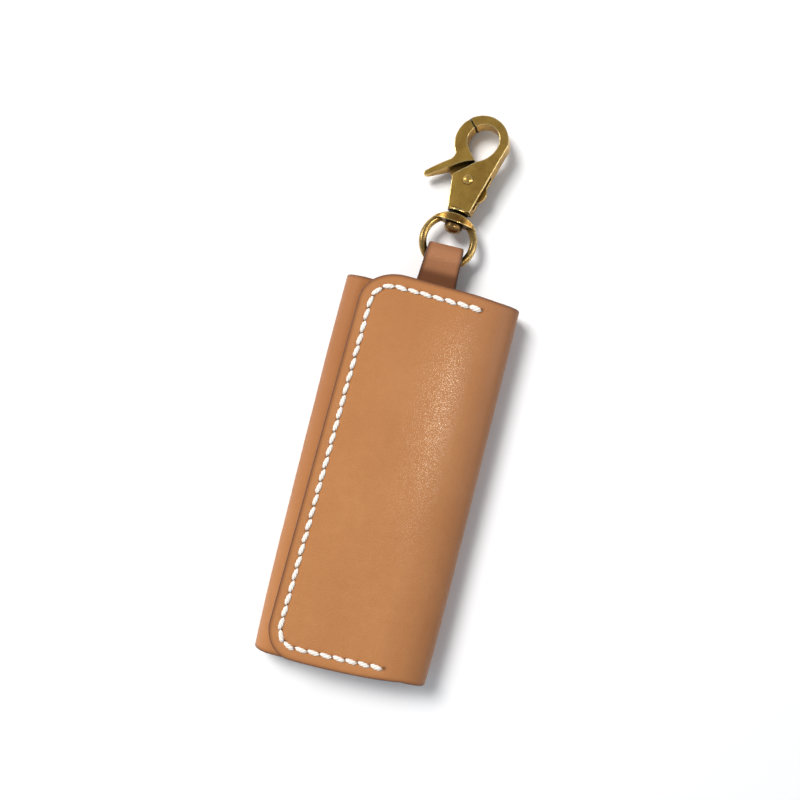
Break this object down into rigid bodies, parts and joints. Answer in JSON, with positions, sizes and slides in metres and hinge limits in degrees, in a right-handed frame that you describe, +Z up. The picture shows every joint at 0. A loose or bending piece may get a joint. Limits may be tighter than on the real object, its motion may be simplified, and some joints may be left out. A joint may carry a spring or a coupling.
{
  "type": "key organiser",
  "caption": "Tri-fold leather key case with hidden key hooks, a stitched front flap, and a strap and ring that carry a lever snap.",
  "frame": {"origin": "middle of the back panel's outside face, the face the closed case rests on", "axes": "+X across the case towards its folded right edge, +Y along the case towards the snap, +Z up out of the front flap"},
  "size_m": [0.0484, 0.1559, 0.0149],
  "materials": {
    "case_leather": "smooth vegetable-tanned, waxed",
    "lining_leather": "flesh side, matt",
    "strap_leather": "smooth, darkened by handling",
    "thread": "waxed polyester thread",
    "antique_brass": "antique plating, dark in the recesses",
    "nickel_steel": "nickel plated",
    "gate_brass": "plain sprung strip"
  },
  "bodies": {
    "case_back": {"back_panel": "case_leather", "back_lining": "lining_leather", "strap_tail": "strap_leather", "strap_rivet": "antique_brass", "key_plate": "nickel_steel", "plate_rivets": "nickel_steel"},
    "right_fold": {"right_spine": "case_leather"},
    "front_flap": {"front_flap": "case_leather", "flap_lining": "lining_leather", "flap_stitching": "thread", "flap_magnets": "nickel_steel"},
    "left_fold": {"left_spine": "case_leather"},
    "side_flap": {"side_flap": "case_leather", "side_lining": "lining_leather", "side_keepers": "nickel_steel"},
    "strap": {"strap_loop": "strap_leather"},
    "ring": {"swivel_ring": "antique_brass"},
    "snap": {"swivel_stud": "antique_brass", "snap_body": "antique_brass", "lever_rivet": "antique_brass", "lever_spring": "nickel_steel"},
    "lever": {"trigger_lever": "antique_brass"},
    "hook_1": {"key_hook_1": "nickel_steel"},
    "gate_1": {"key_gate_1": "gate_brass"},
    "hook_2": {"key_hook_2": "nickel_steel"},
    "gate_2": {"key_gate_2": "gate_brass"},
    "hook_3": {"key_hook_3": "nickel_steel"},
    "gate_3": {"key_gate_3": "gate_brass"},
    "hook_4": {"key_hook_4": "nickel_steel"},
    "gate_4": {"key_gate_4": "gate_brass"}
  },
  "joints": [
    {"name": "flap_fold_lower", "type": "hinge", "parent": "case_back", "child": "right_fold", "pos_m": [0.02209, 0, 0.00211], "axis": [0, 1, 0], "range_deg": [0, 90]},
    {"name": "flap_fold_upper", "type": "hinge", "parent": "right_fold", "child": "front_flap", "pos_m": [0.02209, 0, 0.01229], "axis": [0, 1, 0], "range_deg": [0, 90]},
    {"name": "side_fold_lower", "type": "hinge", "parent": "case_back", "child": "left_fold", "pos_m": [-0.02255, 0, 0.00165], "axis": [0, -1, 0], "range_deg": [0, 90]},
    {"name": "side_fold_upper", "type": "hinge", "parent": "left_fold", "child": "side_flap", "pos_m": [-0.02255, 0, 0.00965], "axis": [0, -1, 0], "range_deg": [0, 90]},
    {"name": "strap_swing", "type": "hinge", "parent": "case_back", "child": "strap", "pos_m": [0.0003, 0.0538, 0.0042], "axis": [1, 0, 0], "range_deg": [-50, 45]},
    {"name": "ring_swing", "type": "hinge", "parent": "strap", "child": "ring", "pos_m": [0.00067, 0.0602, 0.00562], "axis": [1, 0, 0], "range_deg": [-25, 25]},
    {"name": "snap_swivel", "type": "hinge", "parent": "ring", "child": "snap", "pos_m": [0.00067, 0.06668, 0.00546], "axis": [0.0958, 0.9951, -0.0244], "continuous": true},
    {"name": "lever_press", "type": "hinge", "parent": "snap", "child": "lever", "pos_m": [0.00233, 0.08394, 0.00504], "axis": [-0.2216, 0.0453, 0.9741], "range_deg": [0, 28], "stiffness_Nm_per_rad": 0.006, "springref_deg": -8.59},
    {"name": "hook_1_swivel", "type": "hinge", "parent": "case_back", "child": "hook_1", "pos_m": [-0.012, 0.031, 0.00565], "axis": [0, 1, 0], "continuous": true},
    {"name": "gate_1_press", "type": "hinge", "parent": "hook_1", "child": "gate_1", "pos_m": [-0.01275, 0.0268, 0.00565], "axis": [0, 0, 1], "range_deg": [0, 4], "stiffness_Nm_per_rad": 0.0004, "springref_deg": -1.72},
    {"name": "hook_2_swivel", "type": "hinge", "parent": "case_back", "child": "hook_2", "pos_m": [-0.004, 0.031, 0.00565], "axis": [0, 1, 0], "continuous": true},
    {"name": "gate_2_press", "type": "hinge", "parent": "hook_2", "child": "gate_2", "pos_m": [-0.00475, 0.0268, 0.00565], "axis": [0, 0, 1], "range_deg": [0, 4], "stiffness_Nm_per_rad": 0.0004, "springref_deg": -1.72},
    {"name": "hook_3_swivel", "type": "hinge", "parent": "case_back", "child": "hook_3", "pos_m": [0.004, 0.031, 0.00565], "axis": [0, 1, 0], "continuous": true},
    {"name": "gate_3_press", "type": "hinge", "parent": "hook_3", "child": "gate_3", "pos_m": [0.00325, 0.0268, 0.00565], "axis": [0, 0, 1], "range_deg": [0, 4], "stiffness_Nm_per_rad": 0.0004, "springref_deg": -1.72},
    {"name": "hook_4_swivel", "type": "hinge", "parent": "case_back", "child": "hook_4", "pos_m": [0.012, 0.031, 0.00565], "axis": [0, 1, 0], "continuous": true},
    {"name": "gate_4_press", "type": "hinge", "parent": "hook_4", "child": "gate_4", "pos_m": [0.01125, 0.0268, 0.00565], "axis": [0, 0, 1], "range_deg": [0, 4], "stiffness_Nm_per_rad": 0.0004, "springref_deg": -1.72}
  ],
  "couplings": [
    {"joint": "flap_fold_upper", "follows": "flap_fold_lower", "ratio": 1},
    {"joint": "side_fold_lower", "follows": "flap_fold_lower", "ratio": 1},
    {"joint": "side_fold_upper", "follows": "flap_fold_lower", "ratio": 1}
  ]
}
